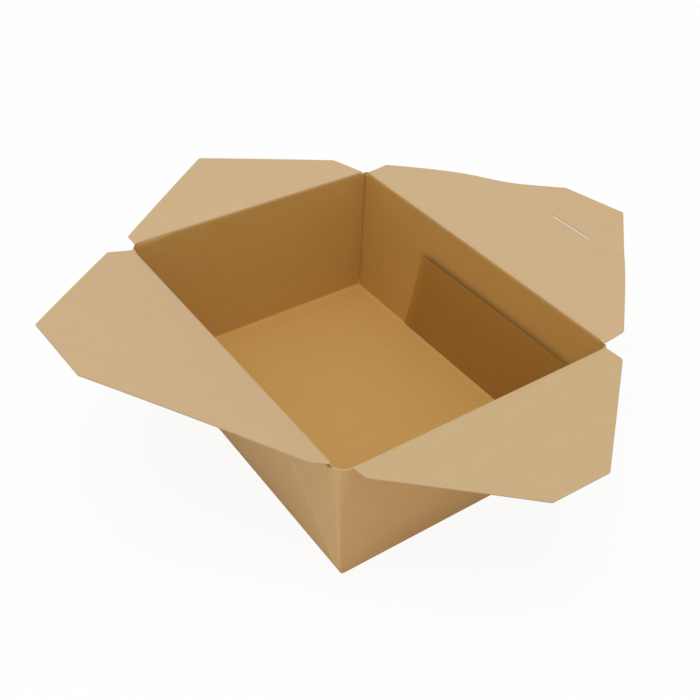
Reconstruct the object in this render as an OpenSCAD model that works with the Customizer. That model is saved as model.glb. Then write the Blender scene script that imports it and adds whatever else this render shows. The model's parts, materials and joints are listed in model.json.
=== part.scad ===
// Takeaway box of kraft board: one tapered tray with folded corner webs, and four
// flaps on creases round its open top. The origin is the middle of the underside.
// +X points to the right-hand short wall and +Y to the long wall at the back. Left,
// right, front and back are those of the box, seen from its front.

/* [Box] */
// Length of the open top between the corner folds
rim_l = 208.5; // [150:0.5:260]
// Width of the open top between the corner folds
rim_w = 160; // [120:0.5:200]
// Height of the flap creases above the table
box_h = 78.5; // [50:0.5:110]
// Lean of each wall outwards from upright, in degrees
taper = 5.5; // [2:0.25:9]

/* [Board] */
// Thickness of the board
board = 0.5; // [0.3:0.05:0.8]
// Air between two plies that lie folded flat together
ply_gap = 0.12; // [0.08:0.02:0.3]

/* [Corner webs] */
// How far the top edge of a web stays below the flap crease
web_drop = 2; // [2:0.25:6]

/* [Lap panel] */
// Distance from the flap crease down the back wall to the top edge of the panel
lap_drop = 25.5; // [10:0.5:45]
// Bare stretch of the back wall between the left corner and the panel's top edge
lap_inset = 63; // [30:0.5:90]
// Lean of the panel's free end, in degrees
lap_lean = 7; // [0:0.5:15]

/* [Front flap] */
// Reach from the crease to the tip
front_reach = 85; // [60:0.5:110]
// Width of the square tip
front_tip = 41.5; // [20:0.5:70]
// Reach of the left end's straight edge beside the crease
front_left_shoulder = 17.5; // [6:0.5:25]
// Reach of the right end's straight edge beside the crease
front_right_shoulder = 10.5; // [6:0.5:25]
// Distance that the left end narrows over its shoulder
front_left_draw = 4.5; // [0:0.5:8]
// Distance that the right end narrows over its shoulder
front_right_draw = 3.5; // [0:0.5:8]
// Distance from the left end of the crease to the corner fold
front_left_clear = 6; // [3:0.5:12]
// Distance from the right end of the crease to the corner fold
front_right_clear = 6.5; // [3:0.5:12]
// Tilt of the flap above level as it stands, in degrees
front_tilt = 22; // [-30:1:60]

/* [Right flap] */
// Reach from the crease to the tip
right_reach = 62; // [45:0.5:80]
// Width of the square tip
right_tip = 32.5; // [15:0.5:60]
// Reach of the front end's straight edge beside the crease
right_front_shoulder = 8; // [5:0.5:20]
// Reach of the back end's straight edge beside the crease
right_back_shoulder = 11; // [5:0.5:20]
// Distance that each end narrows over its shoulder
right_draw = 0.5; // [0:0.5:6]
// Distance from the front end of the crease to the corner fold
right_front_clear = 6; // [3:0.5:12]
// Distance from the back end of the crease to the corner fold
right_back_clear = 3; // [3:0.5:12]
// Tilt of the flap above level as it stands, in degrees
right_tilt = 0.5; // [-30:0.5:60]

/* [Back flap] */
// Reach from the wall crease to the crease of the bent tip
back_fold = 65; // [45:0.5:80]
// Reach of the bent tip beyond its crease, at its left corner
back_tip_reach = 25; // [15:0.5:40]
// Width of the tip's end
back_tip = 40.5; // [20:0.5:70]
// How much further the tip reaches at its right corner than at its left
back_tip_skew = 6.5; // [-8:0.5:8]
// Width of the flap at the crease of the bent tip
back_fold_w = 106; // [80:0.5:130]
// Reach of the short straight ends beside the wall crease
back_shoulder = 15; // [6:0.5:25]
// Distance that each end narrows over its shoulder
back_draw = 1; // [0:0.5:6]
// Distance from each end of the wall crease to the corner fold
back_clear = 3; // [3:0.5:12]
// Tilt of the flap above level as it stands, in degrees
back_tilt = -1.5; // [-30:0.5:60]
// Bend of the tip towards the inside of the box, in degrees
back_bend = 10; // [2:0.5:30]
// Length of the slit along the tip crease
slit_l = 30; // [15:0.5:45]
// Width of the slit
slit_w = 1.4; // [0.4:0.1:2]
// Distance of the slit's middle from the middle of the flap, to the right
slit_x = 11; // [-25:0.5:25]

/* [Left flap] */
// Reach from the crease to the point
left_reach = 68.5; // [50:0.5:85]
// Reach of the front end's straight edge beside the crease
left_front_shoulder = 8; // [5:0.5:20]
// Reach of the back end's straight edge beside the crease
left_back_shoulder = 21.5; // [8:0.5:35]
// Distance that the front end narrows over its shoulder
left_front_draw = 0; // [0:0.5:6]
// Distance that the back end narrows over its shoulder
left_back_draw = 6.5; // [0:0.5:10]
// Distance from the front end of the crease to the corner fold
left_front_clear = 3.5; // [3:0.5:12]
// Distance from the back end of the crease to the corner fold
left_back_clear = 3; // [3:0.5:12]
// Tilt of the flap above level as it stands, in degrees
left_tilt = 0; // [-30:0.5:60]

/* [Creases and corners] */
// Air between a wall's rounded top edge and the root of its flap
crease_gap = 0.35; // [0.3:0.05:0.6]
// Radius of the flap corners at the tip
tip_r = 1.5; // [0.5:0.25:5]
// Radius of the flap corners at the shoulders
shoulder_r = 4; // [1:0.5:8]

/* [Hidden] */
$fn = 48;

kraft_wall = [0.66, 0.50, 0.33];
kraft_flap = [0.80, 0.68, 0.51];

// The back of a fold is this much smaller than the plies it joins
fold_step = 0.01;
// Steps in the arc that rounds a corner of an outline
arc_steps = 6;
// How far a cutting shape runs past what it cuts
past = 1;

// Sheets are placed by their middle planes, which cross at the folds
rise = box_h - board / 2;
slant = rise / cos(taper);
spread = rise * tan(taper);
base_l = rim_l - 2 * spread;
base_w = rim_w - 2 * spread;

// Plies that lie together are one pitch apart
pitch = board + ply_gap;
fold_d = board - 2 * fold_step;
hairpin_d = pitch + board - 2 * fold_step;

// Lean of a corner fold within its wall, and of the web's diagonal crease from the
// wall's upright: half of what the two walls and the base leave of a full turn
edge_lean = atan(spread / slant);
web_lean = 45 - 2 * edge_lean;
web_top = slant - web_drop;

// A long wall's hairpin fold lies this far inside the short wall's middle plane
hairpin_in = (hairpin_d / 2 + ply_gap + board / 2) / cos(edge_lean);
// The short walls reach past the long ones by two plies at each end
web_out = 2 * pitch / cos(edge_lean);

// A flap starts this far from its crease
root = fold_d / 2 + crease_gap;

// Ends of each crease along its wall, as seen from outside: left end, right end
front_ends = [front_left_clear - rim_l / 2, rim_l / 2 - front_right_clear];
right_ends = [right_front_clear - rim_w / 2, rim_w / 2 - right_back_clear];
back_ends = [back_clear - rim_l / 2, rim_l / 2 - back_clear];
left_ends = [left_back_clear - rim_w / 2, rim_w / 2 - left_front_clear];

// Half of the width between two corner folds at a distance up a wall
function half_at(base_half, up) = base_half + up * tan(edge_lean);

function unit(v) = v / norm(v);

// Arc of radius r that rounds the corner b between its neighbours a and c
function corner_arc(a, b, c, r) =
    let (
        to_a = unit(a - b),
        to_c = unit(c - b),
        half = acos(to_a * to_c) / 2,
        centre = b + unit(to_a + to_c) * r / sin(half),
        start = b + to_a * r / tan(half) - centre,
        way = sign(cross(to_c, to_a)),
        sweep = way * (180 - 2 * half)
    )
    [
        for (i = [0:arc_steps])
            let (turn = sweep * i / arc_steps)
                centre + [
                    start.x * cos(turn) - start.y * sin(turn),
                    start.x * sin(turn) + start.y * cos(turn)
                ]
    ];

// Outline with each corner rounded by its own radius, or left sharp at radius 0
function rounded(points, radii) =
    let (n = len(points))
    [
        for (i = [0:n - 1])
            let (a = points[(i + n - 1) % n], c = points[(i + 1) % n])
                for (p = radii[i] > 0 ? corner_arc(a, points[i], c, radii[i]) : [points[i]])
                    p
    ];

// A flat sheet about its middle plane
module sheet(points) {
    translate([0, 0, -board / 2])
        linear_extrude(board)
            polygon(points);
}

// The round back of a fold from one point of a sheet to another
module fold(from, to, d = fold_d) {
    way = to - from;
    translate([from.x, from.y, 0])
        rotate([0, 90, atan2(way.y, way.x)])
            cylinder(d = d, h = norm(way));
}

// Places a wall's own plane: X along the wall, Y up it and Z out of the box
module on_wall(turn, base_half) {
    rotate([0, 0, turn])
        translate([0, -base_half, board / 2])
            rotate([90 + taper, 0, 0])
                children();
}

// Places a flap's own plane: X along the crease and -Y away from it
module on_crease(turn, rim_half, tilt) {
    rotate([0, 0, turn])
        translate([0, -rim_half, box_h])
            rotate([-tilt, 0, 0])
                children();
}

module base_panel() {
    translate([0, 0, board / 2])
        sheet([
            [-base_l / 2, -base_w / 2],
            [base_l / 2, -base_w / 2],
            [base_l / 2, base_w / 2],
            [-base_l / 2, base_w / 2]
        ]);
}

// Web at the right-hand end of a long wall, folded double against its outside
module web() {
    end = web_top + past;
    foot = [base_l / 2 - hairpin_in, 0];
    hairpin_end = [half_at(base_l / 2, end) - hairpin_in, end];
    corner_foot = [base_l / 2, 0];
    corner_end = [half_at(base_l / 2, end), end];
    diagonal_end = foot + [-tan(web_lean), 1] * end;
    window = [corner_end.x - diagonal_end.x + 2 * past, web_top, 2 * pitch + 2 * past];
    intersection() {
        union() {
            translate([0, 0, pitch / 2])
                fold(foot, hairpin_end, hairpin_d);
            translate([0, 0, pitch])
                sheet([foot, hairpin_end, diagonal_end]);
            translate([0, 0, 1.5 * pitch])
                fold(foot, diagonal_end, hairpin_d);
            translate([0, 0, 2 * pitch]) {
                sheet([foot, corner_foot, corner_end, diagonal_end]);
                fold(corner_foot, corner_end);
            }
        }
        translate([diagonal_end.x - past, 0, -past])
            cube(window);
    }
}

// Long wall with the web folds of both ends
module long_wall(turn, ends) {
    foot_half = base_l / 2 - hairpin_in;
    top_half = rim_l / 2 - hairpin_in;
    on_wall(turn, base_w / 2) {
        sheet([[-foot_half, 0], [foot_half, 0], [top_half, slant], [-top_half, slant]]);
        fold([-foot_half, 0], [foot_half, 0]);
        fold([ends[0], slant], [ends[1], slant]);
        web();
        mirror([1, 0, 0])
            web();
    }
}

// Short wall, which wraps the ends of the long walls' webs
module short_wall(turn, ends) {
    foot_half = base_w / 2 + web_out;
    web_half = half_at(foot_half, web_top);
    top_half = rim_w / 2 - board;
    on_wall(turn, base_l / 2) {
        sheet([
            [-foot_half, 0],
            [foot_half, 0],
            [web_half, web_top],
            [top_half, web_top],
            [top_half, slant],
            [-top_half, slant],
            [-top_half, web_top],
            [-web_half, web_top]
        ]);
        fold([-foot_half, 0], [foot_half, 0]);
        fold([ends[0], slant], [ends[1], slant]);
    }
}

// Panel lapped on the inside of the back wall, from the base up to its cut edge
module lap_panel() {
    lap_top = slant - lap_drop;
    end_gap = board / 2 + ply_gap;
    free_top = half_at(base_l / 2, lap_top) - lap_inset;
    free_foot = free_top + lap_top * tan(lap_lean);
    on_wall(180, base_w / 2)
        translate([0, 0, -pitch])
            sheet([
                [end_gap - base_l / 2, 0],
                [free_foot, 0],
                [free_top, lap_top],
                [end_gap - half_at(base_l / 2, lap_top), lap_top]
            ]);
}

module tray() {
    color(kraft_wall) {
        base_panel();
        long_wall(0, front_ends);
        long_wall(180, back_ends);
        short_wall(90, right_ends);
        short_wall(270, left_ends);
        lap_panel();
    }
}

// Flap with a square tip, and with its own shoulder and draw at each end of its crease
module square_flap(ends, shoulders, draws, tip, reach) {
    sheet(rounded(
        [
            [ends[1], -root],
            [ends[0], -root],
            [ends[0] + draws[0], -shoulders[0]],
            [-tip / 2, -reach],
            [tip / 2, -reach],
            [ends[1] - draws[1], -shoulders[1]]
        ],
        [0, 0, shoulder_r, tip_r, tip_r, shoulder_r]
    ));
}

module front_flap() {
    shoulders = [front_left_shoulder, front_right_shoulder];
    draws = [front_left_draw, front_right_draw];
    color(kraft_flap)
        on_crease(0, rim_w / 2, front_tilt)
            square_flap(front_ends, shoulders, draws, front_tip, front_reach);
}

module right_flap() {
    shoulders = [right_front_shoulder, right_back_shoulder];
    draws = [right_draw, right_draw];
    color(kraft_flap)
        on_crease(90, rim_l / 2, right_tilt)
            square_flap(right_ends, shoulders, draws, right_tip, right_reach);
}

// Back flap, flat as far as its own crease and bent inwards beyond it
module back_flap() {
    color(kraft_flap)
        on_crease(180, rim_w / 2, back_tilt)
            difference() {
                union() {
                    sheet(rounded(
                        [
                            [back_ends[1], -root],
                            [back_ends[0], -root],
                            [back_ends[0] + back_draw, -back_shoulder],
                            [-back_fold_w / 2, -back_fold],
                            [back_fold_w / 2, -back_fold],
                            [back_ends[1] - back_draw, -back_shoulder]
                        ],
                        [0, 0, shoulder_r, 0, 0, shoulder_r]
                    ));
                    fold([-back_fold_w / 2, -back_fold], [back_fold_w / 2, -back_fold]);
                    translate([0, -back_fold, 0])
                        rotate([-back_bend, 0, 0])
                            sheet(rounded(
                                [
                                    [back_fold_w / 2, 0],
                                    [-back_fold_w / 2, 0],
                                    [-back_tip / 2, -back_tip_reach - back_tip_skew],
                                    [back_tip / 2, -back_tip_reach]
                                ],
                                [0, 0, tip_r, tip_r]
                            ));
                }
                translate([-slit_x - slit_l / 2, -back_fold - slit_w / 2, -past])
                    cube([slit_l, slit_w, 2 * past]);
            }
}

// Left flap, which runs out to a point and is cut deeper at its back end
module left_flap() {
    color(kraft_flap)
        on_crease(270, rim_l / 2, left_tilt)
            sheet(rounded(
                [
                    [left_ends[1], -root],
                    [left_ends[0], -root],
                    [left_ends[0] + left_back_draw, -left_back_shoulder],
                    [0, -left_reach],
                    [left_ends[1] - left_front_draw, -left_front_shoulder]
                ],
                [0, 0, shoulder_r, tip_r, shoulder_r]
            ));
}

tray();
front_flap();
right_flap();
back_flap();
left_flap();
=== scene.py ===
# %% [markdown]
# # An open takeaway box of kraft board
#
# The box is one die-cut sheet of board, about half a millimetre thick, that is folded up
# and glued. The solids from the CAD model give its true size and its hinges. This script
# dresses them: each panel becomes a thin curved sheet with two faces and a cut edge, and
# each face gets a procedural board finish.

# %% Load the frame
import json
import math

import bmesh
import bpy
import numpy as np
from mathutils import Matrix, Vector


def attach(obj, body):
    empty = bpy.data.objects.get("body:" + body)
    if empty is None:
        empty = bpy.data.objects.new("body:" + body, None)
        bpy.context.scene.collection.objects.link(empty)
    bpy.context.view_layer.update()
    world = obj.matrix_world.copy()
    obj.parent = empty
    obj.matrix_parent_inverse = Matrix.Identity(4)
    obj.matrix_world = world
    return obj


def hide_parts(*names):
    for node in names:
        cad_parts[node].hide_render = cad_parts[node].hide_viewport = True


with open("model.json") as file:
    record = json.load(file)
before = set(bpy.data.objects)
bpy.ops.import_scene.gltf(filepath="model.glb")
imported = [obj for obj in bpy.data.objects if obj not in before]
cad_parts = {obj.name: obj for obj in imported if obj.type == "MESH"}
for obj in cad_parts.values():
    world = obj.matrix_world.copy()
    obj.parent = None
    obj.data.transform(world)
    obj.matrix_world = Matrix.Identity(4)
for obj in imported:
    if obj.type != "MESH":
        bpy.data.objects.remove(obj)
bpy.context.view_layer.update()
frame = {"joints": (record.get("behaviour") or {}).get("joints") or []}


# %% [markdown]
# ## Camera
#
# The camera stands where the creases and corners of the box fall on the same places as in
# the photograph. A rough view could be set by eye, but then no shape can be judged by
# laying one picture beside the other. Its matrix is written as three directions and a
# place, because a matrix has no order of angles to get wrong.

# %% Place the camera
CAMERA_PLACE = Vector((0.34901, -0.25299, 0.38517))
CAMERA_RIGHT = Vector((0.56653, 0.82365, 0.02532))
CAMERA_UP = Vector((-0.52608, 0.33785, 0.78045))
CAMERA_LENS = 52.087
SENSOR_WIDTH = 36.0
NEAREST = 0.01

lens = bpy.data.cameras.new("photo_view")
lens.sensor_width = SENSOR_WIDTH
lens.lens = CAMERA_LENS
lens.clip_start = NEAREST
camera = bpy.data.objects.new("photo_view", lens)
camera.matrix_world = Matrix((
    (*CAMERA_RIGHT, 0), (*CAMERA_UP, 0), (*CAMERA_RIGHT.cross(CAMERA_UP), 0), (0, 0, 0, 1)
)).transposed()
camera.location = CAMERA_PLACE
bpy.context.scene.collection.objects.link(camera)
bpy.context.scene.camera = camera
print("camera", round(CAMERA_PLACE.length, 3), "m away, lens", CAMERA_LENS, "mm")

# %% [markdown]
# ## Floor and light
#
# The photograph is a cut-out on white, lit from all round. The floor is white board, and
# for the camera it also glows a little, so that it reads as white while the shadow of the
# box stays in it. Most light comes from the world, and one large lamp overhead gives the
# shadow a soft direction.

# %% The floor
FLOOR_SIZE = 8.0
FLOOR_WHITE = 0.95
FLOOR_ROUGHNESS = 0.9
FLOOR_GLOW = 0.92


def camera_like(tree, x, y):
    """1 for rays from the camera, from a mirror or through glass, else 0."""
    rays = tree.nodes.new("ShaderNodeLightPath")
    rays.location = (x, y)
    total = rays.outputs["Is Camera Ray"]
    for step, name in enumerate(("Is Glossy Ray", "Is Transmission Ray")):
        larger = tree.nodes.new("ShaderNodeMath")
        larger.operation = "MAXIMUM"
        larger.location = (x + 200 * (step + 1), y)
        tree.links.new(total, larger.inputs[0])
        tree.links.new(rays.outputs[name], larger.inputs[1])
        total = larger.outputs[0]
    return total


def floor_finish():
    """White matt board, mixed with a white glow of strength 1 for the camera's rays."""
    material = bpy.data.materials.new("white_floor")
    material.use_nodes = True
    tree = material.node_tree
    shader = tree.nodes["Principled BSDF"]
    shader.inputs["Base Color"].default_value = (FLOOR_WHITE, FLOOR_WHITE, FLOOR_WHITE, 1)
    shader.inputs["Roughness"].default_value = FLOOR_ROUGHNESS
    glow = tree.nodes.new("ShaderNodeEmission")
    share = tree.nodes.new("ShaderNodeMath")
    share.operation = "MULTIPLY"
    share.inputs[1].default_value = FLOOR_GLOW
    mix = tree.nodes.new("ShaderNodeMixShader")
    tree.links.new(camera_like(tree, -900, 300), share.inputs[0])
    tree.links.new(share.outputs[0], mix.inputs[0])
    tree.links.new(shader.outputs[0], mix.inputs[1])
    tree.links.new(glow.outputs[0], mix.inputs[2])
    tree.links.new(mix.outputs[0], tree.nodes["Material Output"].inputs["Surface"])
    return material


corner = FLOOR_SIZE / 2
floor_mesh = bpy.data.meshes.new("floor")
floor_mesh.from_pydata(
    [(-corner, -corner, 0), (corner, -corner, 0), (corner, corner, 0), (-corner, corner, 0)],
    [], [(0, 1, 2, 3)])
floor_mesh.materials.append(floor_finish())
floor = bpy.data.objects.new("floor", floor_mesh)
bpy.context.scene.collection.objects.link(floor)
print("floor:", FLOOR_SIZE, "m square")

# %% The light
WORLD_LIGHT = 0.62
LAMP_SIZE = 1.3
LAMP_PLACE = (0.15, -0.25, 1.7)
LAMP_POWER = 13.0

world = bpy.data.worlds.new("studio")
world.use_nodes = True
bpy.context.scene.world = world
background = world.node_tree.nodes["Background"]
strength = world.node_tree.nodes.new("ShaderNodeMapRange")
strength.inputs["To Min"].default_value = WORLD_LIGHT
strength.inputs["To Max"].default_value = 1.0
world.node_tree.links.new(camera_like(world.node_tree, -900, 0), strength.inputs["Value"])
world.node_tree.links.new(strength.outputs["Result"], background.inputs["Strength"])
background.inputs["Color"].default_value = (1, 1, 1, 1)

light = bpy.data.lights.new("overhead", "AREA")
light.size = LAMP_SIZE
light.energy = LAMP_POWER
lamp = bpy.data.objects.new("overhead", light)
lamp.location = LAMP_PLACE
lamp.rotation_euler = (-lamp.location).to_track_quat("-Z", "Y").to_euler()
bpy.context.scene.collection.objects.link(lamp)
bpy.context.scene.view_settings.view_transform = "Standard"
print("world light", WORLD_LIGHT, "and a lamp of", LAMP_POWER, "W")

# %% [markdown]
# ## Sizes
#
# The hinges of the frame already hold the size of the open top: each one lies on a crease.
# The rest are the named sizes of the board and of its cuts, in millimetres and degrees,
# because a carton is drawn that way. Lengths become metres only when a mesh is made.

# %% Sizes that the frame gives
MM = 0.001
hinge = {joint["child"]: np.array(joint["pos_m"]) / MM for joint in frame["joints"]}
rim_x = hinge["right_flap"][0]
rim_y = hinge["back_flap"][1]
box_h = hinge["front_flap"][2]
print(f"open top {2 * rim_x:.1f} x {2 * rim_y:.1f} mm, creases {box_h:.1f} mm up")

# %% Sizes of the board and the folded body
board = 0.5
ply_gap = 0.12
taper = math.radians(5.5)
web_drop = 2.0
half_board = board / 2

rise = box_h - half_board
slant = rise / math.cos(taper)
base_x = rim_x - rise * math.tan(taper)
base_y = rim_y - rise * math.tan(taper)
edge_lean = math.atan(rise * math.tan(taper) / slant)
web_lean = math.pi / 4 - 2 * edge_lean
pitch = (board + ply_gap) / math.cos(taper)
hairpin_in = 1.5 * (board + ply_gap)
print(f"base {2 * base_x:.1f} x {2 * base_y:.1f} mm")
print(f"web crease {math.degrees(web_lean):.1f} degrees from upright")

# %% [markdown]
# ## From a grid to a sheet of board
#
# Every panel is worked out as the middle surface of the board: a grid of points with rows
# and columns. Board is then built on both sides of it. A Solidify modifier could do that
# too, but here the thickness is an array as well, so an edge can be rounded and a crease
# can swell. Cells can be left out for a slit, and every open side is closed by a strip.
#
# A grid point carries seven numbers: its place, half of the board's thickness there, one
# number for how much a crease has rubbed it plus painted light and shade, and its two
# coordinates on the flat blank, for the grain.

# %% Normals of a grid
PLACE, HALF, WORN_AND_SHADED, BLANK = slice(0, 3), 3, 4, slice(5, 7)
LEAST_LENGTH, NO_LENGTH = 1e-12, 1e-6


def grid_normals(mid, ring):
    """Unit normal at each grid point: the step along the row crossed with the step along
    the column. A ring's rows join end to start. A first or last row that shrinks to a
    point takes the normals of its neighbour."""
    if ring:
        along = np.roll(mid, -1, 1) - np.roll(mid, 1, 1)
    else:
        along = np.gradient(mid, axis=1)
    normal = np.cross(along, np.gradient(mid, axis=0))
    length = np.linalg.norm(normal, axis=2, keepdims=True)
    normal /= np.maximum(length, LEAST_LENGTH)
    for end, neighbour in ((0, 1), (-1, -2)):
        normal[end] = np.where(length[end] < NO_LENGTH, normal[neighbour], normal[end])
    return normal


# %% Cells of a grid
def grid_cells(rows, columns, ring):
    """Corner numbers of the grid's cells, counted along the row first."""
    number = np.arange(rows * columns).reshape(rows, columns)
    if ring:
        number = np.concatenate([number, number[:, :1]], axis=1)
    return np.stack([number[:-1, :-1], number[:-1, 1:], number[1:, 1:], number[1:, :-1]], axis=-1)


# %% A mesh object from arrays
SHARP = math.radians(40)
MERGED_WITHIN = 2e-7


def new_object(name, points, faces, slots, materials, worn_and_shaded, blank):
    """Puts points in millimetres and faces into a mesh, gives each face its material and
    each point its attributes, and merges points that fall together."""
    mesh = bpy.data.meshes.new(name)
    mesh.from_pydata((points * MM).tolist(), [], faces.tolist())
    mesh.polygons.foreach_set("material_index", slots.astype(np.int32))
    for material in materials:
        mesh.materials.append(material)
    wear_and_shade = mesh.attributes.new("worn_and_shaded", "FLOAT", "POINT")
    wear_and_shade.data.foreach_set("value", worn_and_shaded.astype(np.float32))
    place = mesh.attributes.new("blank", "FLOAT_VECTOR", "POINT")
    place.data.foreach_set("vector", (blank * MM).astype(np.float32).ravel())
    work = bmesh.new()
    work.from_mesh(mesh)
    bmesh.ops.remove_doubles(work, verts=work.verts, dist=MERGED_WITHIN)
    work.to_mesh(mesh)
    work.free()
    mesh.polygons.foreach_set("use_smooth", np.ones(len(mesh.polygons), bool))
    mesh.set_sharp_from_angle(angle=SHARP)
    piece = bpy.data.objects.new(name, mesh)
    bpy.context.scene.collection.objects.link(piece)
    return piece


# %% The sheet itself
FACE_STEP = 6.0


def board_sheet(name, grid, materials, ring=False, keep=None, edge_rows=0, outer_slots=0):
    """A closed sheet round a middle surface: each point moves out and in along its normal
    by its own half thickness, and a strip joins the two faces along every open side. The
    first row of a ring is its middle and stays without a strip. Materials are those of the
    outer face, the inner face and the cut edge, which also covers the last edge_rows.
    outer_slots may name another material for the outer face of each column."""
    rows, columns = grid.shape[:2]
    count = rows * columns
    mid = grid[..., PLACE]
    step = grid_normals(mid, ring) * grid[..., HALF, None]
    cells = grid_cells(rows, columns, ring)
    slot_of = np.zeros(cells.shape[:2], int) + outer_slots
    slot_of[rows - 1 - edge_rows:] = 2
    kept = np.ones(cells.shape[:2], bool) if keep is None else keep
    cells, slot_of = cells[kept], slot_of[kept]

    edges = np.stack([cells, np.roll(cells, -1, 1)], axis=-1).reshape(-1, 2)
    code = edges.min(1) * count + edges.max(1)
    codes, times = np.unique(code, return_counts=True)
    side = edges[np.isin(code, codes[times == 1])]
    if ring:
        side = side[side.max(1) >= columns]
    strip = np.stack([side[:, 1], side[:, 0], side[:, 0] + count, side[:, 1] + count], axis=1)

    faces = np.concatenate([cells, cells[:, ::-1] + count, strip])
    slots = np.concatenate([slot_of, np.where(slot_of == 2, 2, 1), np.full(len(strip), 2)])
    points = np.concatenate([(mid + step).reshape(-1, 3), (mid - step).reshape(-1, 3)])
    flat = grid[..., BLANK].reshape(-1, 2)
    blank = np.concatenate([np.c_[flat, np.full(count, depth)] for depth in (0.0, FACE_STEP)])
    worn_and_shaded = np.tile(grid[..., WORN_AND_SHADED].ravel(), 2)
    piece = new_object(name, points, faces, slots, materials, worn_and_shaded, blank)
    print(f"{name}: {len(piece.data.polygons)} faces")
    return piece


# %% [markdown]
# ## Kraft board
#
# Unbleached board is not one brown. Long fibres run in the direction in which the sheet
# left the machine, the pulp clouds a little, and a few dark specks lie in it. A picture of
# board would repeat and blur, so the finish is made from noise. The noise reads the place
# on the flat blank, which every point carries, so the grain runs one way over the whole
# sheet and turns with each panel, as it does on a folded carton.

# %% Node helpers
def add(tree, kind, x, y, **settings):
    """A new node at a place in the tree, with its plain settings."""
    node = tree.nodes.new(kind)
    node.location = (x, y)
    for key, value in settings.items():
        setattr(node, key, value)
    return node


def noise(tree, coordinates, character, x, y):
    """A noise read along the given coordinates. Its character is the scale per metre, the
    detail and the roughness."""
    node = add(tree, "ShaderNodeTexNoise", x, y)
    for socket, value in zip(("Scale", "Detail", "Roughness"), character):
        node.inputs[socket].default_value = value
    tree.links.new(coordinates, node.inputs["Vector"])
    return node.outputs["Fac"]


def share_between(tree, value, low, high, x, y):
    """How far a value has come from low to high, from 0 to 1."""
    node = add(tree, "ShaderNodeMapRange", x, y)
    node.inputs["From Min"].default_value = low
    node.inputs["From Max"].default_value = high
    tree.links.new(value, node.inputs["Value"])
    return node


def arithmetic(tree, operation, values, x, y):
    """One step of arithmetic between values, each a socket or a number."""
    node = add(tree, "ShaderNodeMath", x, y, operation=operation)
    for slot_number, value in enumerate(values):
        if isinstance(value, (int, float)):
            node.inputs[slot_number].default_value = value
        else:
            tree.links.new(value, node.inputs[slot_number])
    return node.outputs[0]


# %% The board finish: the noises, how much each one shows, and the relief
GRAIN_STRETCH = (1, 0.07, 1)
FIBRES, STREAKS = (2400, 3, 0.6), (330, 2, 0.5)
CLOUDS, SPECKS = (95, 4, 0.55), (900, 1, 0.5)
FIBRE, STREAK, CLOUD, SPECK = 0.08, 0.07, 0.06, 0.10
SPECK_FROM, SPECK_FULL = 0.72, 0.80
WEAR_AND_SHADE_LIFT = 0.10
BLEND_FROM, BLEND_TO = 1.0, 3.0
SPECULAR = 0.3
CLOUD_RELIEF = 1.5
RELIEF_STRENGTH, RELIEF_HEIGHT = 0.3, 0.0001


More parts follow.
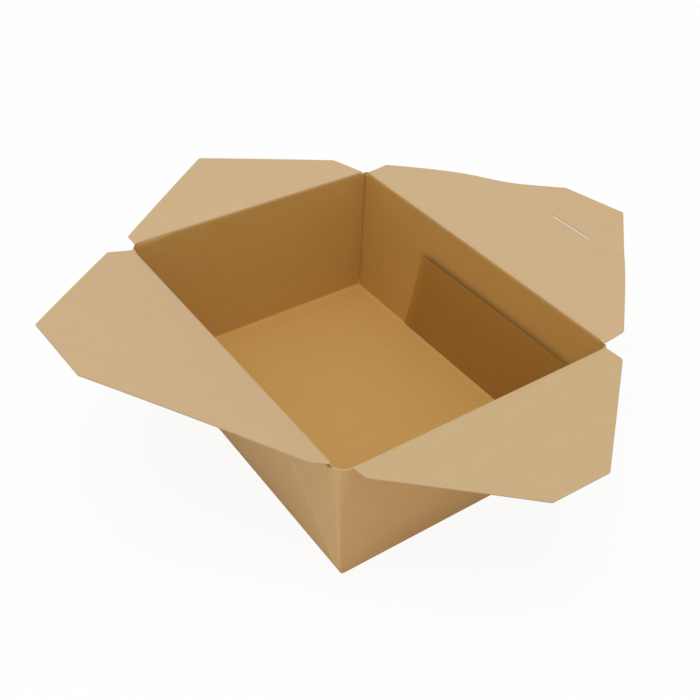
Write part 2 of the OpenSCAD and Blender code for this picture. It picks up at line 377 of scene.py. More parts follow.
def kraft(name, tone, roughness, limits=(0.0, 1.0), painted_light_tone=None):
    """Board of one tone. The tone is multiplied by one plus faint clouds, fibres and broad
    streaks, less the specks, plus a little where a crease is rubbed and where light is
    painted. Values below zero darken as painted shade. They count between the limits only,
    but where a painted light tone is given, values above one also turn the tone into that."""
    material = bpy.data.materials.new(name)
    material.use_nodes = True
    tree = material.node_tree
    shader = tree.nodes["Principled BSDF"]
    place = add(tree, "ShaderNodeAttribute", -1500, 0, attribute_name="blank").outputs["Vector"]
    stretch = add(tree, "ShaderNodeMapping", -1300, 200)
    stretch.inputs["Scale"].default_value = GRAIN_STRETCH
    tree.links.new(place, stretch.inputs["Vector"])
    fibres = noise(tree, stretch.outputs["Vector"], FIBRES, -1100, 300)
    streaks = noise(tree, stretch.outputs["Vector"], STREAKS, -1100, 600)
    clouds = noise(tree, place, CLOUDS, -1100, 0)
    specks = noise(tree, place, SPECKS, -1100, -300)
    all_wear_and_shade = add(tree, "ShaderNodeAttribute", -1100, -600, attribute_name="worn_and_shaded").outputs["Fac"]
    worn_and_shaded = arithmetic(tree, "MAXIMUM", (all_wear_and_shade, limits[0]), -900, -600)
    worn_and_shaded = arithmetic(tree, "MINIMUM", (worn_and_shaded, limits[1]), -700, -600)

    level = share_between(tree, specks, SPECK_FROM, SPECK_FULL, -900, -300)
    level.inputs["To Max"].default_value = SPECK
    mean = 1.0 - (FIBRE + CLOUD + STREAK) / 2
    shade = arithmetic(tree, "MULTIPLY_ADD", (fibres, FIBRE, mean), -900, 300)
    shade = arithmetic(tree, "MULTIPLY_ADD", (streaks, STREAK, shade), -800, 400)
    shade = arithmetic(tree, "MULTIPLY_ADD", (clouds, CLOUD, shade), -700, 200)
    shade = arithmetic(tree, "SUBTRACT", (shade, level.outputs["Result"]), -500, 100)
    shade = arithmetic(tree, "MULTIPLY_ADD", (worn_and_shaded, WEAR_AND_SHADE_LIFT, shade), -300, 0)
    colour = add(tree, "ShaderNodeVectorMath", -100, 100, operation="SCALE")
    colour.inputs[0].default_value = tone
    # painted light: where the value passes one, the lining turns into a light tone
    if painted_light_tone:
        lit_share = share_between(tree, all_wear_and_shade, BLEND_FROM, BLEND_TO, -900, -800)
        blend = add(tree, "ShaderNodeVectorMath", -300, 300, operation="MULTIPLY_ADD")
        tree.links.new(lit_share.outputs["Result"], blend.inputs[0])
        blend.inputs[1].default_value = Vector(painted_light_tone) - Vector(tone)
        blend.inputs[2].default_value = tone
        tree.links.new(blend.outputs["Vector"], colour.inputs[0])
    tree.links.new(shade, colour.inputs["Scale"])
    tree.links.new(colour.outputs["Vector"], shader.inputs["Base Color"])
    shader.inputs["Roughness"].default_value = roughness
    shader.inputs["Specular IOR Level"].default_value = SPECULAR

    relief = arithmetic(tree, "MULTIPLY_ADD", (clouds, CLOUD_RELIEF, fibres), -700, -400)
    bump = add(tree, "ShaderNodeBump", -300, -400)
    bump.inputs["Strength"].default_value = RELIEF_STRENGTH
    bump.inputs["Distance"].default_value = RELIEF_HEIGHT
    tree.links.new(relief, bump.inputs["Height"])
    tree.links.new(bump.outputs["Normal"], shader.inputs["Normal"])
    return material


# %% Tones of the faces and of the cut edge, several of them with painted light and shade
flap_face = kraft("kraft_flap_face", (0.591, 0.413, 0.222), 0.6, limits=(-1.0, 1.0))
right_face = kraft("kraft_right_flap_face", (0.560, 0.394, 0.203), 0.6, limits=(-1.0, 1.0))
# painted shade: the lining is a darker, more saturated copy of the flaps' face, as shade inside
# the box
lining_face_painted_shade = kraft("kraft_lining_painted_shade", (0.565, 0.327, 0.090), 0.5, limits=(-5.0, 1.0),
                    painted_light_tone=(0.80, 0.58, 0.33))
outer_face = kraft("kraft_outer", (0.61, 0.39, 0.170), 0.75)
# painted shade: the outside of the short walls is a darker, warmer copy of the outer face
side_face_painted_shade = kraft("kraft_outer_side_painted_shade", (0.60, 0.356, 0.138), 0.75)
# painted shade: the lapped panel is much darker than the lining around it
lap_face_painted_shade = kraft("kraft_lap_painted_shade", (0.385, 0.197, 0.036), 0.6, limits=(0.0, 4.0))
# painted shadow: the lapped panel's cut edge is nearly black-brown, like the gap above it
lap_edge_painted_shadow = kraft("kraft_lap_edge_painted_shadow", (0.20, 0.11, 0.035), 0.9)
rim_edge = kraft("kraft_rim_edge", (0.64, 0.43, 0.21), 0.9)
cut_edge = kraft("kraft_cut_edge", (0.53, 0.38, 0.215), 0.9)
finishes = (flap_face, right_face, lining_face_painted_shade, outer_face, side_face_painted_shade,
            lap_face_painted_shade, lap_edge_painted_shadow, rim_edge, cut_edge)
print("board finishes:", [finish.name for finish in finishes])

# %% [markdown]
# ## The folded body
#
# Base, walls and corner webs are one unbroken sheet. At any height its plan is a single
# line. It runs along a long wall and into the corner, turns back in a hairpin over its own
# outside, turns again at the web's diagonal crease, and then goes round the corner into
# the short wall. So the body is that line carried up the height. Four flat plates with
# glued-on triangles would be easier, but the folds would have no thickness and the corners
# no roundness.

# %% Helpers for smooth changes
def ramp(value, low, high):
    """0 below low, 1 above high and a smooth S between: 3 t squared minus 2 t cubed."""
    t = np.clip((value - low) / (high - low), 0, 1)
    return t * t * (3 - 2 * t)


def spaced(count):
    """Even shares of a stretch, from just after its start to its end."""
    return np.arange(1, count + 1) / count


# %% Where the columns of the plan lie
COUNTS = {"WALL": 25, "WALL_ARC": 10, "PIN": 8, "PLY_ARC": 8, "INNER_PLY": 10,
          "DIAGONAL": 8, "OUTER_PLY": 12, "CORNER": 16, "SHORT": 20}
starts = np.concatenate([[0], np.cumsum(list(COUNTS.values()))])
COLUMNS = int(starts[-1])
WALL, WALL_ARC, PIN, PLY_ARC, INNER_PLY, DIAGONAL, OUTER_PLY, CORNER, SHORT = (
    slice(int(a), int(b)) for a, b in zip(starts, starts[1:]))
long_share = np.sin(np.linspace(0, math.pi / 2, COUNTS["WALL"]))
short_share = 1 - np.cos(spaced(COUNTS["SHORT"]) * math.pi / 2)
print("columns in a quarter of the plan:", COLUMNS)

# %% [markdown]
# The corner folds are sharp near the base and open softly towards the rim, where only the
# ends of two creases hold them. A corner that has opened is a quarter of a superellipse:
# with the power 2 it is round, and towards 1 it cuts straight across. All plies of a corner
# share one centre, so they lie inside each other like the leaves of a book.

# %% The corner folds in plan
# The curve at the rim: its reach along the long wall, along the short wall, and its power
ROUND = 2.0
CORNER_LOW = 1.3
CORNER_RIM = {"front_right": (9.6, 9.6, ROUND), "back_right": (4.2, 4.6, 1.25),
              "back_left": (1.3, 1.3, ROUND), "front_left": (7.6, 5.8, 1.25)}
OPENING_POWER = 7
# How far from the corner the creases of the long and the short flap end
LONG_CLEAR = {"front_right": 8.4, "back_right": 3.0, "back_left": 3.0, "front_left": 6.0}
SHORT_CLEAR = {"front_right": 6.0, "back_right": 3.0, "back_left": 3.0, "front_left": 3.5}
# How far round the curve the hairpin lies
PIN_DEGREES = {"front_right": 50, "back_right": 35, "back_left": 5, "front_left": 50}
# How far from the corner the free edge starts to rise, and how low it stays there
RISE_CLEAR = {"front_right": 6.8, "back_right": 3.0, "back_left": 3.0, "front_left": 6.0}
CORNER_DROP = {"front_right": 0.5, "back_right": 2.0, "back_left": 1.1, "front_left": 2.0}


def opened(z, at_rim, low):
    """From the low value to the one at the rim, with a high power of the height, so that
    the fold stays sharp until shortly below the rim."""
    return low + (at_rim - low) * np.clip(z / box_h, 0, 1) ** OPENING_POWER


def arc_shares(angle, power):
    """Shares of the two reaches at an angle: its sine and cosine, divided by the power's
    root of the sum of their powers."""
    sine, cosine = np.abs(np.sin(angle)), np.abs(np.cos(angle))
    total = (sine ** power + cosine ** power) ** (1 / power)
    return sine / total, cosine / total


# %% Slight belly of the walls
BELLY = 0.6


def belly(across, z):
    """Outward bow of a wall in millimetres: a parabola across it, a sine up it, and none
    at the creases that hold it."""
    return BELLY * (1 - across ** 2) * np.sin(math.pi * np.clip(z / box_h, 0, 1))


# %% Plan of a plain rounded corner
PLAIN_CORNER = 1.2


def plain_plan(wall_x, wall_y, inset):
    """Plan with the same columns round a plain corner, moved inwards by inset."""
    turn = slice(WALL.stop, SHORT.start)
    angle = spaced(turn.stop - turn.start) * math.pi / 2
    x = np.empty_like(wall_x)
    y = np.empty_like(wall_y)
    x[:, WALL] = (wall_x[:, WALL] - PLAIN_CORNER) * long_share
    y[:, WALL] = -wall_y[:, WALL] + inset
    x[:, turn] = wall_x[:, turn] - PLAIN_CORNER + (PLAIN_CORNER - inset) * np.sin(angle)
    y[:, turn] = -wall_y[:, turn] + PLAIN_CORNER - (PLAIN_CORNER - inset) * np.cos(angle)
    x[:, SHORT] = wall_x[:, SHORT] - inset
    y[:, SHORT] = (-wall_y[:, SHORT] + PLAIN_CORNER) * (1 - short_share)
    return x, y


# %% Plan of the folded corner
PLAIN_HEIGHT = 4.5
fold_r = 0.5
fold_z = half_board + fold_r * (1 - math.sin(taper))


def arc_columns(plan, curve, columns, inwards, angle):
    """Fills columns with points of a corner's curve, so many millimetres inwards of its
    outer ply: the centre plus the reach along x and less the one along y, each times its
    share at the angle."""
    (x, y), (centre, reach, power) = plan, curve
    share_x, share_y = arc_shares(angle, power[:, columns])
    x[:, columns] = centre[0][:, columns] + (reach[0][:, columns] - inwards) * share_x
    y[:, columns] = centre[1][:, columns] - (reach[1][:, columns] - inwards) * share_y


def straight_columns(plan, start_x, end_x, columns, line_y):
    """Fills columns with even steps along x at a given y."""
    x, y = plan
    share = spaced(columns.stop - columns.start)
    x[:, columns] = start_x[:, columns] + (end_x - start_x)[:, columns] * share
    y[:, columns] = line_y[:, columns]


def folded_plan(z, key):
    """Plan points and blank coordinates of the sheet, from the middle of the front wall to
    the middle of the right wall, for a grid of heights. Low down, where all creases meet,
    the folded line eases into a plain rounded corner."""
    lean = (z - half_board) * math.tan(taper)
    up = (z - half_board) / math.cos(taper)
    wall_x, wall_y = base_x + lean, base_y + lean
    reach = [opened(z, at_rim, CORNER_LOW) for at_rim in CORNER_RIM[key][:2]]
    power = opened(z, CORNER_RIM[key][2], ROUND)
    centre_x, centre_y = wall_x - reach[0], -wall_y - 2 * pitch + reach[1]
    curve = ((centre_x, centre_y), reach, power)
    web_x = np.minimum(base_x - hairpin_in - up * math.tan(web_lean), centre_x)
    pin_angle = math.radians(PIN_DEGREES[key])
    x, y, flat_x, flat_y = (np.empty_like(z) for _ in range(4))
    plan = (x, y)

    x[:, WALL] = centre_x[:, WALL] * long_share
    y[:, WALL] = -wall_y[:, WALL]
    arc_columns(plan, curve, WALL_ARC, 2 * pitch, spaced(COUNTS["WALL_ARC"]) * pin_angle)
    turn = spaced(COUNTS["PIN"]) * math.pi
    arc_columns(plan, curve, PIN, 1.5 * pitch + pitch / 2 * np.cos(turn), pin_angle)
    x[:, PIN] += pitch / 2 * np.sin(turn) * math.cos(pin_angle)
    y[:, PIN] += pitch / 2 * np.sin(turn) * math.sin(pin_angle)
    arc_columns(plan, curve, PLY_ARC, pitch, pin_angle * (1 - spaced(COUNTS["PLY_ARC"])))
    straight_columns(plan, centre_x, web_x, INNER_PLY, -wall_y - pitch)
    turn = spaced(COUNTS["DIAGONAL"]) * math.pi
    x[:, DIAGONAL] = web_x[:, DIAGONAL] - pitch / 2 * np.sin(turn)
    y[:, DIAGONAL] = -wall_y[:, DIAGONAL] - pitch - pitch / 2 * (1 - np.cos(turn))
    straight_columns(plan, web_x, centre_x, OUTER_PLY, -wall_y - 2 * pitch)
    arc_columns(plan, curve, CORNER, 0, spaced(COUNTS["CORNER"]) * math.pi / 2)
    x[:, SHORT] = wall_x[:, SHORT]
    y[:, SHORT] = centre_y[:, SHORT] * (1 - short_share)

    flat_x[:] = base_x + up
    flat_y[:] = y
    inner, back = slice(0, DIAGONAL.start), slice(PLY_ARC.start, DIAGONAL.start)
    flat_x[:, inner] = x[:, inner]
    flat_x[:, back] = (2 * wall_x - x)[:, back]
    flat_y[:, inner] = -base_y - up[:, inner]
    outer = slice(DIAGONAL.start, CORNER.start)
    flat_y[:, outer] = (-wall_y - wall_x + x)[:, outer]

    plain_x, plain_y = plain_plan(wall_x, wall_y, 0.0)
    folded = ramp(z, fold_z, fold_z + PLAIN_HEIGHT)
    x = plain_x + (x - plain_x) * folded
    y = plain_y + (y - plain_y) * folded
    bowed = slice(0, CORNER.start)
    y[:, bowed] -= belly(x[:, bowed] / wall_x[:, bowed], z[:, bowed])
    x[:, SHORT] += belly(y[:, SHORT] / wall_y[:, SHORT], z[:, SHORT])
    return x, y, flat_x, flat_y


# %% How high each column reaches
web_top = box_h - web_drop * math.cos(taper)
TOP_STEP = 1.0


def column_tops(key):
    """Cut edges of a quarter. The wall falls to the web's top where its flap's crease ends.
    Past the flap the edge rises to the corner's own height, and it gets back to full height
    at the crease of the short wall's flap."""
    x, y = folded_plan(np.full((1, COLUMNS), box_h), key)[:2]
    tops = np.full(COLUMNS, web_top)
    corner_top = box_h - CORNER_DROP[key] * math.cos(taper)
    past_flap = RISE_CLEAR[key] - rim_x + x[0, CORNER.start:]
    tops[CORNER.start:] += (corner_top - web_top) * ramp(past_flap, 0, TOP_STEP)
    long_wall, short_wall = slice(0, WALL_ARC.stop), slice(CORNER.start, COLUMNS)
    past_long = rim_x - x[0, long_wall] - LONG_CLEAR[key]
    past_short = rim_y + y[0, short_wall] - SHORT_CLEAR[key]
    tops[long_wall] += (box_h - web_top) * ramp(past_long, -TOP_STEP, 0)
    tops[short_wall] += (box_h - tops[short_wall]) * ramp(past_short, -TOP_STEP, 0)
    return tops


print(f"webs reach {web_top:.2f} mm up, creases {box_h:.2f} mm")

# %% Rows of the walls, with a rounded cut edge on top
WALL_ROWS = 40
TOP_ROWS = [0.985, 0.993, 0.997, 1.0]
LIP = np.array([0.35, 0.7, 0.9, 1.0])
LIP_LEAST = 0.02
FOLD_WEAR = 0.5
WEB_HIGHLIGHT, WEB_HIGHLIGHT_WIDTH = 0.7, 9.0
RIM_WEAR_AND_LIGHT, RIM_WEAR_AND_LIGHT_WIDTH = 3.0, 1.0
up_share = np.concatenate([np.arange(WALL_ROWS) / WALL_ROWS * TOP_ROWS[0], TOP_ROWS])


def wall_rows(key):
    """Walls and webs of a quarter, row by row up to the crease, then over the lip, whose
    half thickness is that of a half circle. Below the creases of the flaps a bell curve of
    the depth adds crease rubbing and painted light."""
    z = fold_z + (column_tops(key) - fold_z) * up_share[:, None]
    x, y, flat_x, flat_y = folded_plan(z, key)
    worn_and_shaded = np.zeros_like(z)
    sharpness = (CORNER_LOW / opened(z, CORNER_RIM[key][0], CORNER_LOW))[:, CORNER]
    worn_and_shaded[:, CORNER] = FOLD_WEAR * np.sin(math.pi * spaced(COUNTS["CORNER"])) * sharpness
    worn_and_shaded[:, DIAGONAL] = np.sin(math.pi * spaced(COUNTS["DIAGONAL"]))
    # painted highlight: the web's outer ply is lighter beside its diagonal crease, fading over
    # some millimetres
    from_crease = x[:, OUTER_PLY] - x[:, DIAGONAL.stop - 1:DIAGONAL.stop]
    worn_and_shaded[:, OUTER_PLY] = WEB_HIGHLIGHT * (1 - ramp(from_crease, 0, WEB_HIGHLIGHT_WIDTH))
    depth = z[-1:] - z
    # crease rubbing and painted light in a band below the flaps' creases; on the lining it turns
    # to the light tone
    for creased in (WALL, SHORT):
        worn_and_shaded[:, creased] += RIM_WEAR_AND_LIGHT * np.exp(-(depth[:, creased] / RIM_WEAR_AND_LIGHT_WIDTH) ** 2)
    walls = np.stack([x, y, z, np.full_like(z, half_board), worn_and_shaded, flat_x, flat_y], axis=-1)
    last = walls[-1, :, PLACE] - walls[-2, :, PLACE]
    last /= np.linalg.norm(last, axis=1, keepdims=True)
    lip = np.repeat(walls[-1:], len(LIP), axis=0)
    lip[..., PLACE] += LIP[:, None, None] * half_board * last
    lip[..., HALF] = half_board * np.sqrt(np.maximum(1 - LIP ** 2, LIP_LEAST))[:, None]
    return np.concatenate([walls, lip])


# %% Rows of the base and of the fold round it
FOLD_ROWS = 6
BASE_ROWS = 14
BASE_WEAR = 1.0


def fold_row(angle):
    """A row of the base fold. The sheet turns from the wall's lean to level, so the row
    lies the fold's radius times the change of the cosine further in."""
    foot = (fold_z - half_board) * math.tan(taper)
    inset = fold_r * (math.cos(taper) - math.cos(angle))
    level = fold_z - fold_r * (math.sin(angle) - math.sin(taper))
    wall_x, wall_y, z, half, worn_and_shaded = (
        np.full((1, COLUMNS), value)
        for value in (base_x + foot, base_y + foot, level, half_board, BASE_WEAR))
    x, y = plain_plan(wall_x, wall_y, inset)
    return np.stack([x, y, z, half, worn_and_shaded, x, y], axis=-1)


def base_row(inward):
    """A row of the base: each column runs straight from the fold to the middle line, which
    is as long as the base is longer than wide."""
    row = fold_row(math.pi / 2)
    middle = row.copy()
    middle[..., 0] = np.clip(row[..., 0], 0, base_x - base_y)
    middle[..., 1] = 0
    row[..., WORN_AND_SHADED] = 0
    row[..., :2] += (middle - row)[..., :2] * inward
    row[..., BLANK] = row[..., :2]
    return row


def body_quarter(key):
    """Rows from the middle of the base, over the fold and up to the rim."""
    bases = [base_row(s) for s in np.linspace(1, 0, BASE_ROWS + 1)[:-1]]
    folds = [fold_row(a) for a in np.linspace(math.pi / 2, taper, FOLD_ROWS + 1)[:-1]]
    return np.concatenate(bases + folds + [wall_rows(key)])


# %% The whole body
MIRROR_Y = np.array([1, -1, 1, 1, 1, 1, -1])
HALF_TURN = np.array([-1, -1, 1, 1, 1, -1, -1])


def ring_of(front_right, back_right, back_left, front_left):
    """Four quarters, each worked out as the front right one, in one closed ring: two are
    mirrored and run backwards, and the left half is turned round. Shared columns count
    once."""
    right = [front_right, (back_right * MIRROR_Y)[:, -2:0:-1]]
    left = [back_left * HALF_TURN, (front_left * MIRROR_Y * HALF_TURN)[:, -2:0:-1]]
    return np.concatenate(right + left, axis=1)


body_grid = ring_of(*(body_quarter(key) for key in CORNER_RIM))
print("body rows and columns:", body_grid.shape[:2])

# %% [markdown]
# Two places of the lining have a tone of their own, which is written into the fifth number
# of the grid. Below the left crease the lining gets painted light, in a band that gets wider
# near the front corner. On the back wall a painted shadow lies as a dark line just above the
# edge of the panel that is lapped there.

# %% The band of painted light at the left crease
SOFT_PAINTED_LIGHT = 1.8
SOFT_WIDTH, SOFT_LEAST = 3.0, 0.1
SOFT_FROM, SOFT_FULL = 45, 70
SOFT_EVEN, SOFT_GONE = 0.6, 1.3
SOFT_CLEAR = 1.0


def soft_band(grid):
    """Painted light below the left wall's crease: even for a part of the band's width and then
    gone by a smooth S. The width grows by another S along the wall."""
    width = SOFT_LEAST + SOFT_WIDTH * ramp(-grid[..., 1], SOFT_FROM, SOFT_FULL)
    on_left = (grid[..., 0] < -base_x) & (np.abs(grid[..., 1]) < rim_y - SOFT_CLEAR)
    depth = (box_h - grid[..., 2]) / width
    return on_left * SOFT_PAINTED_LIGHT * (1 - ramp(depth, SOFT_EVEN, SOFT_GONE))


body_grid[..., WORN_AND_SHADED] = np.maximum(body_grid[..., WORN_AND_SHADED], soft_band(body_grid))

# %% The painted shadow above the lapped panel
lap_drop = 25.5
lap_inset = 63.0
lap_top = slant - lap_drop
lap_end = base_x + lap_top * math.tan(edge_lean) - lap_inset
LAP_SHADOW, LAP_SHADOW_WIDTH = 3.6, 2.8
LAP_SHADOW_START, LAP_SHADOW_FULL = 6, 8
LAP_SHADOW_FADE, LAP_SHADOW_LOSS = 25, 0.6


def lap_shadow_band(grid):
    """Painted shadow: a bell curve of the height above the lap's cut edge, on the back wall
    only. It starts at the lap's free end and gets weaker towards the right corner."""
    along, above = grid[..., 0], (grid[..., 2] - half_board) / math.cos(taper) - lap_top
    on_back = (grid[..., 1] > base_y) & (np.abs(along) < base_x)
    started = ramp(along, -lap_end - LAP_SHADOW_START, -lap_end + LAP_SHADOW_FULL)
    kept = 1 - LAP_SHADOW_LOSS * ramp(along, base_x - LAP_SHADOW_FADE, base_x)
    return on_back * (started * kept) * np.exp(-(above / LAP_SHADOW_WIDTH) ** 2)


# painted shadow: the lining darkens in a line just above the lap's edge
body_grid[..., WORN_AND_SHADED] -= LAP_SHADOW * lap_shadow_band(body_grid)
wear_and_shade = body_grid[..., WORN_AND_SHADED]
print(f"wear of the body from {wear_and_shade.min():.1f} to {wear_and_shade.max():.1f}")

# %% The body as a piece, with painted shade on the outside of its short walls
SIDE_SLOT = 3
quarter_slots = np.zeros(COLUMNS, int)
quarter_slots[CORNER.stop - COUNTS["CORNER"] // 2:] = SIDE_SLOT
body_slots = np.concatenate([quarter_slots, quarter_slots[-2:0:-1]] * 2)
box_body = board_sheet("box_body", body_grid, [outer_face, lining_face_painted_shade, rim_edge, side_face_painted_shade],
                       ring=True, edge_rows=len(LIP), outer_slots=body_slots)
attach(box_body, "tray")
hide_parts("tray")

# %% [markdown]
# ## The lapped panel
#
# Inside the back wall lies a second layer of board, from the base up to a straight cut
# edge. It is held at its foot only, so its top edge stands a little off the wall and
# throws a thin shadow on it. Its grid follows the wall, and the gap grows towards the top
# and towards the free end.

# %% The lapped panel
lap_lean = math.radians(7)
LAP_COLUMNS = 48
LAP_FOOT, LAP_START, LAP_ROWS = [0.7, 1.4], 2.5, 24
LAP_OFF, LAP_OFF_CORNER = 0.8, 0.45
LAP_JOINED = 0.2
LAP_LIGHT, END_LIGHT, END_WIDTH = 1.2, 1.8, 7.0
LAP_BLANK = 300


def lap_grid():
    """Along the wall from the right corner to the leaning free end, and up the wall. The
    distance off the wall grows with the square of the height, and with that of the way to
    the free end. The top and the free end get painted light on the panel's painted shade."""
    up = np.concatenate([LAP_FOOT, np.linspace(LAP_START, lap_top, LAP_ROWS)])[:, None]
    foot_end = half_board + ply_gap - base_x - up * math.tan(edge_lean)
    free_end = lap_end + (lap_top - up) * math.tan(lap_lean)
    share = np.sin(np.arange(LAP_COLUMNS + 1) / LAP_COLUMNS * math.pi / 2)[None, :]
    along = foot_end + (free_end - foot_end) * share
    height = up / lap_top
    opening = LAP_OFF * height ** 2 * (LAP_OFF_CORNER + (1 - LAP_OFF_CORNER) * share ** 2)
    off = board + ply_gap + opening * ramp(share, 0, LAP_JOINED)
    z = half_board + up * math.cos(taper) + off * math.sin(taper)
    bow = belly(along / (base_x + up * math.tan(edge_lean)), z)
    y = base_y + up * math.sin(taper) - off * math.cos(taper) + bow
    # painted light: the panel gets lighter towards its top and its free end
    worn_and_shaded = LAP_LIGHT * height ** 3 + END_LIGHT * (1 - ramp(free_end - along, 0, END_WIDTH))
    half, on_blank = np.full_like(z, half_board), np.broadcast_to(LAP_BLANK + up, z.shape)
    return np.stack([-along, y, z, half, worn_and_shaded, -along, on_blank], axis=-1)


lap_panel = board_sheet("lap_panel", lap_grid(), [lining_face_painted_shade, lap_face_painted_shade, lap_edge_painted_shadow])
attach(lap_panel, "tray")
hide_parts("tray")

# %% [markdown]
# ## The flaps
#
# Each flap is cut with a short straight shoulder beside its crease and long slanting sides.
# Its middle surface starts on the crease axis, where a slightly swollen round root sits on
# the wall's round top. Both have the same axis, so the crease looks closed at every angle,
# and nothing has to stretch.
#
# From the crease on, the board follows a profile: at each distance it has a slope, and the
# sum of the steps along that slope gives its place. A bend or a curl is then one curve of
# slopes, and no length is gained or lost.

# %% Rounded outline of one side
ARC_STEPS = 8


def side_line(corners, radii):
    """Half of a flap's outline as points of place along and distance from the crease. Each
    inner corner is replaced by an arc that touches both of its sides."""
    corners = np.array(corners, float)
    line = [corners[:1]]
    for before, here, after, radius in zip(corners, corners[1:], corners[2:], radii):
        to_a = (before - here) / np.linalg.norm(before - here)
        to_c = (after - here) / np.linalg.norm(after - here)
        half = math.acos(np.clip(to_a @ to_c, -1, 1)) / 2
        middle = (to_a + to_c) / np.linalg.norm(to_a + to_c)
        centre = here + middle * radius / math.sin(half)
        start = here + to_a * radius / math.tan(half) - centre
        end = here + to_c * radius / math.tan(half) - centre
        sweep = math.pi - 2 * half
        t = np.linspace(0, 1, ARC_STEPS + 1)[:, None]
        spoke = np.sin((1 - t) * sweep) * start + np.sin(t * sweep) * end
        line.append(centre + spoke / math.sin(sweep))
    line = np.concatenate(line)
    return line[:np.argmax(line[:, 1]) + 1]


# %% Rows of a flap
ROOT_R = 0.30
ROOT_START, ROOT_ROWS = 0.12, 6
ROOT_END, NEXT_ROW, EVEN_START = 0.2, 0.3, 0.6
ROW_STEP, LEAST_STEP = 2.2, 0.04
root_rows = -ROOT_R * np.cos(np.linspace(ROOT_START, math.pi / 2, ROOT_ROWS))


def flap_rows(left, right, marks):
    """Distances from the crease: over the round root, then even steps plus every point of
    both side lines and the given marks, without rows that nearly fall together."""
    reach = min(left[-1, 1], right[-1, 1])
    even = np.arange(EVEN_START, reach, ROW_STEP)
    rows = np.concatenate([left[:, 1], right[:, 1], even, marks, [NEXT_ROW, reach]])
    rows = np.unique(np.round(rows[(rows > ROOT_END) & (rows <= reach)], 4))
    apart = np.concatenate([np.diff(rows) > LEAST_STEP, [True]])
    return np.concatenate([root_rows, rows[apart | np.isin(rows, marks)]])


# %% The crease at an opened corner
CREASE_FADE = 8.0
CURVE_POINTS = 400


def corner_inset(clear, key, long_side):
    """How far the rim stands inside its straight line, at a distance clear from the corner.
    It is read off the corner's curve, of the inner ply for a long wall and of the outer
    ply for a short one."""
    reach_x, reach_y, power = CORNER_RIM[key]
    inwards = 2 * pitch if long_side else 0
    share_x, share_y = arc_shares(np.linspace(0, math.pi / 2, CURVE_POINTS), power)
    x_off = reach_x - (reach_x - inwards) * share_x
    y_off = reach_y - (reach_y - inwards) * share_y - 2 * pitch
    if long_side:
        return np.interp(-clear, -x_off, y_off, left=0)
    return np.interp(clear, y_off, x_off, right=0)


# %% Middle surface of a flap
FLAP_COLUMNS = 44
CREASE_SHADE, CREASE_WIDTH = 0.4, 1.1


def flap_shares(columns=()):
    """Even shares of the way across a flap, and those of further columns."""
    return np.unique(np.concatenate([np.linspace(0, 1, FLAP_COLUMNS + 1), np.array(columns)]))


def flap_grid(left, right, place, slope, corners, skew=(0.0, 0.0), marks=(), columns=()):
    """The flap's grid. place gives its turn about Z, the distance of its crease and its
    tilt. slope gives the board's slope in radians at each distance and place along. corners
    names the ones at its two ends. skew makes the tip's far end reach further by its first
    number, growing evenly from the distance that is its second."""
    turn, rim, tilt = place
    rows = flap_rows(left, right, np.array(marks))
    share = flap_shares(columns)
    low = np.interp(rows, left[:, 1], left[:, 0])[:, None]
    high = np.interp(rows, right[:, 1], right[:, 0])[:, None]
    along = low + (high - low) * share
    grown = np.clip((rows - skew[1]) / (rows[-1] - skew[1]), 0, 1)[:, None]
    distance = rows[:, None] + skew[0] * grown * (share - 0.5)
    angle = tilt + slope(distance, along)
    step = np.diff(distance, axis=0)
    middle_angle = (angle[1:] + angle[:-1]) / 2
    out = np.concatenate([distance[:1], distance[:1] + np.cumsum(step * np.cos(middle_angle), 0)])
    up = np.concatenate([0 * distance[:1], np.cumsum(step * np.sin(middle_angle), 0)])
    at_crease = len(root_rows) - 1
    out -= out[at_crease]
    up -= up[at_crease]
    long_side = rim == rim_y
    half_length = rim_x if long_side else rim_y
    inset = (corner_inset(half_length + along, corners[0], long_side)
             + corner_inset(half_length - along, corners[1], long_side))
    out -= inset * (1 - ramp(distance, 0, CREASE_FADE))

    axis = np.array([math.cos(turn), math.sin(turn), 0])
    outward = np.array([math.sin(turn), -math.cos(turn), 0])
    points = along[..., None] * axis + (rim + out)[..., None] * outward
    points[..., 2] = box_h + up
    swell = np.sqrt(np.maximum(ROOT_R ** 2 - distance ** 2, 0))
    half = np.where(distance < 0, swell, np.maximum(half_board, swell))
    worn_and_shaded = -CREASE_SHADE * np.exp(-(distance / CREASE_WIDTH) ** 2)
    flat = along[..., None] * axis[:2] + (rim + slant + distance)[..., None] * outward[:2]
    return np.concatenate([points, half[..., None], worn_and_shaded[..., None], flat], axis=-1)


# %% A flap as a piece
def dress_flap(name, grid, keep=None, face=flap_face):
    """Makes the sheet, lets it ride on its own body and stand for the solid flap."""
    piece = board_sheet(name + "_board", grid, [outer_face, face, cut_edge], keep=keep)
    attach(piece, name)
    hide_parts(name)


TIP_R = 1.5


def curl(amount, reach):
    """Slopes of a gentle curl: they fall evenly from plus the amount at the crease to minus
    the amount at the tip, so that the tip ends where a flat flap's would."""
    def slope(distance, along):
        return math.radians(amount) * (1 - 2 * np.clip(distance, 0, None) / reach)
    return slope


# %% Front flap: its side lines run from the crease over the shoulder to the tip
front_reach, front_tilt, front_curl, front_skew = 84.9, 22, 1.5, (-2.4, 14)
front_left = side_line([(-rim_x + 6, 0), (-rim_x + 10.9, 17.8),
                        (-19.6, front_reach), (0, front_reach)], [4, TIP_R])
front_right = side_line([(rim_x - 8.4, 0), (rim_x - 7.0, 1.8), (rim_x - 9.9, 11),
                         (22, front_reach), (0, front_reach)], [0.6, 4, TIP_R])
front_grid = flap_grid(front_left, front_right, (0.0, rim_y, math.radians(front_tilt)),
                       curl(front_curl, front_reach), ("front_left", "front_right"),
                       skew=front_skew)
dress_flap("front_flap", front_grid)

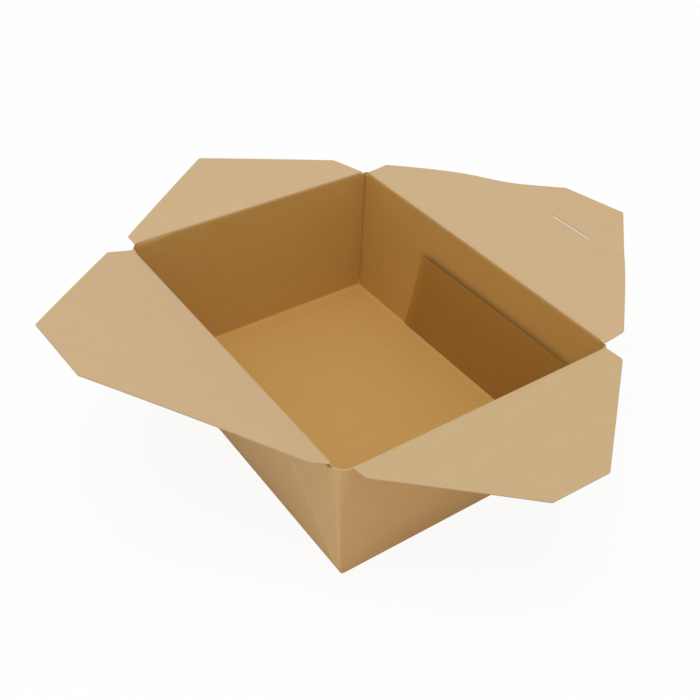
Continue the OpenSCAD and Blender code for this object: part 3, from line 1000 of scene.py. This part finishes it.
# %% Right flap
right_reach, right_tilt, right_curl, right_skew = 61.9, 0.5, 1.2, (0.7, 10)
right_front = side_line([(-rim_y + 6.2, 0), (-rim_y + 7.4, 8),
                         (-16.7, right_reach), (0, right_reach)], [5, TIP_R])
right_back = side_line([(rim_y - 2.8, 0), (rim_y - 2.6, 11.2),
                        (16, right_reach), (0, right_reach)], [4, TIP_R])
right_grid = flap_grid(right_front, right_back, (math.pi / 2, rim_x, math.radians(right_tilt)),
                       curl(right_curl, right_reach), ("front_right", "back_right"),
                       skew=right_skew)
dress_flap("right_flap", right_grid, face=right_face)

# %% Left flap, whose two side lines meet in its point
left_reach, left_curl = 68.4, 1.2
left_back_shoulder, left_front_shoulder = (-rim_y + 9.8, 21), (rim_y - 3.4, 8)
left_apex = (0, left_reach)
left_back = side_line([(-rim_y + 3.0, 0), left_back_shoulder, left_apex, left_front_shoulder],
                      [4, TIP_R])
left_front = side_line([(rim_y - 3.6, 0), left_front_shoulder, left_apex, left_back_shoulder],
                       [1.5, TIP_R])
left_grid = flap_grid(left_back, left_front, (1.5 * math.pi, rim_x, 0.0),
                      curl(left_curl, left_reach), ("back_left", "front_left"))
dress_flap("left_flap", left_grid)

# %% [markdown]
# The back flap has a crease of its own, where its tip bends a little towards the box. A
# slit lies in that crease, for a tongue on the front flap of such boxes. The board has
# bowed too: it rises first and then drops to the crease, so the flap's side edge runs in a
# soft S. The slopes of that S were read off the edge in the photograph.

# %% Slope of the back flap
back_fold, back_tip_reach = 65.0, 30.3
back_tilt, back_bend = math.radians(-1.5), math.radians(10)
slit_x, slit_l, slit_w = 11.0, 30.0, 1.4
SPREAD_AT_SLIT, SPREAD_MORE, SPREAD_FROM, SPREAD_FULL = 1.5, 5.0, 12, 50
BOW_AT = (0, 3, 11, 20, 35, 45, 52, 58, 65, 72, 78, 93)
BOW_SLOPE = np.radians((0.0, 0.5, 4.1, 3.7, 1.6, -1.0, -5.0, -8.5, -9.5, -5.5, -1.5, -0.5))


def back_slope(distance, along):
    """The slope of the bow between the listed distances, plus the bend of the tip. The
    bend is spread over more board away from the slit."""
    spread = SPREAD_AT_SLIT + SPREAD_MORE * ramp(np.abs(along + slit_x), SPREAD_FROM, SPREAD_FULL)
    bend = back_bend * ramp(distance, back_fold - spread, back_fold + spread)
    return np.interp(distance, BOW_AT, BOW_SLOPE) + bend


# %% Back flap: its side lines turn once more where they cross its own crease
back_reach, back_skew = back_fold + back_tip_reach, (-6.8, back_fold)
fold_start, fold_end = -53.3, 53.0
back_right = side_line([(-rim_x + 3, 0), (-rim_x + 4.3, 14.5), (fold_start, back_fold),
                        (-19.6, back_reach), (0, back_reach)], [3, 12, TIP_R])
back_left = side_line([(rim_x - 2.7, 0), (rim_x - 1.2, 15), (fold_end, back_fold),
                       (21, back_reach), (0, back_reach)], [3, 12, TIP_R])
slit_rows = (back_fold - slit_w / 2, back_fold + slit_w / 2)
slit_shares = [(end - fold_start) / (fold_end - fold_start)
               for end in (-slit_x - slit_l / 2, -slit_x + slit_l / 2)]
back_grid = flap_grid(back_right, back_left, (math.pi, rim_y, back_tilt), back_slope,
                      ("back_right", "back_left"), skew=back_skew,
                      marks=slit_rows, columns=slit_shares)
print("back flap rows and columns:", back_grid.shape[:2])

# %% Cut the slit and dress the back flap
row_at = flap_rows(back_right, back_left, np.array(slit_rows))
share_at = flap_shares(slit_shares)
row_middle = (row_at[1:] + row_at[:-1]) / 2
share_middle = (share_at[1:] + share_at[:-1]) / 2
in_rows = (row_middle > slit_rows[0]) & (row_middle < slit_rows[1])
in_columns = (share_middle > slit_shares[0]) & (share_middle < slit_shares[1])
dress_flap("back_flap", back_grid, keep=~(in_rows[:, None] & in_columns[None, :]))
